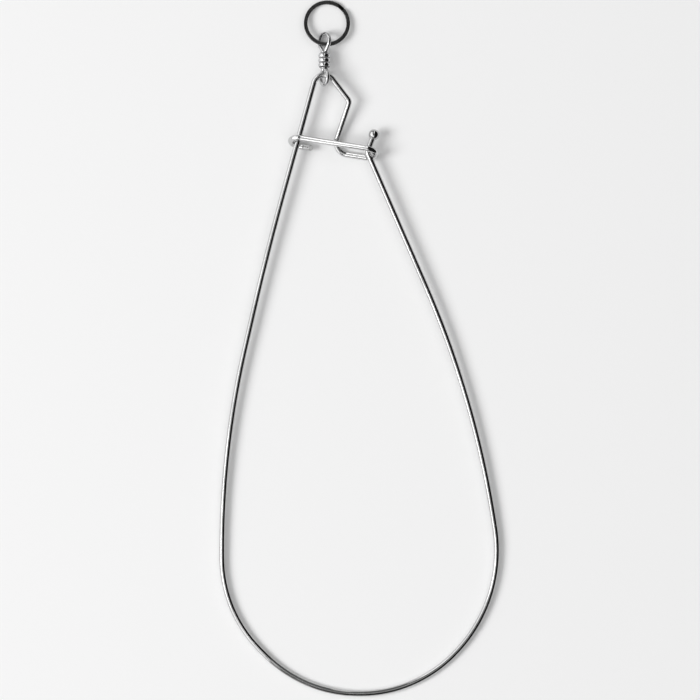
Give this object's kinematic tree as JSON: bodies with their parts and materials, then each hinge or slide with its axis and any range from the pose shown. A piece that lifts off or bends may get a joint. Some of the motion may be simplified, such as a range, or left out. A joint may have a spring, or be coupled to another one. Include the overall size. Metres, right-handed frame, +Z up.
{
  "type": "fish stringer",
  "caption": "Pear-shaped sprung wire hoop with a hooked catch and a ball-tipped gate, hung from a barrel swivel and a split ring, for carrying fish threaded by the gill.",
  "frame": {"origin": "centre of the part's outline seen from above, on the surface it lies on", "axes": "+Y from the bow to the split ring, +Z up from the surface, +X to the side of the sprung limb"},
  "size_m": [0.1946, 0.4832, 0.016],
  "materials": {
    "hoop_wire": "bright drawn stainless wire, faint lengthwise die lines",
    "tip_ball": "polished",
    "swivel_wire": "nickel plated, lightly tarnished",
    "swivel_barrel": "nickel plated, darker in the grooves",
    "split_ring": "hardened spring steel, dark"
  },
  "bodies": {
    "hoop": {"frame_wire": "hoop_wire", "spring_bow": "hoop_wire"},
    "gate": {"gate_limb": "hoop_wire", "tip_ball": "tip_ball"},
    "lower_eye": {"swivel_lower_eye": "swivel_wire"},
    "barrel": {"swivel_barrel": "swivel_barrel"},
    "upper_eye": {"swivel_upper_eye": "swivel_wire"},
    "ring": {"split_ring": "split_ring"}
  },
  "joints": [
    {"name": "gate_release", "type": "slide", "parent": "hoop", "child": "gate", "axis": [-0.4383, -0.8987, -0.0144], "range_m": [0, 0.04], "stiffness_N_per_m": 150, "deforming": ["spring_bow"]},
    {"name": "swivel_swing", "type": "hinge", "parent": "hoop", "child": "lower_eye", "pos_m": [-0.0244, 0.18957, 0.00885], "axis": [1, 0, 0], "range_deg": [-90, 90]},
    {"name": "barrel_turn", "type": "hinge", "parent": "lower_eye", "child": "barrel", "pos_m": [-0.0244, 0.19501, 0.00806], "axis": [0, 0.9896, -0.1436], "continuous": true},
    {"name": "upper_eye_turn", "type": "hinge", "parent": "barrel", "child": "upper_eye", "pos_m": [-0.0244, 0.20461, 0.00667], "axis": [0, 0.9896, -0.1436], "continuous": true},
    {"name": "ring_swing", "type": "hinge", "parent": "upper_eye", "child": "ring", "pos_m": [-0.0244, 0.21121, 0.00571], "axis": [0.9925, -0.122, 0], "range_deg": [-90, 90]}
  ]
}
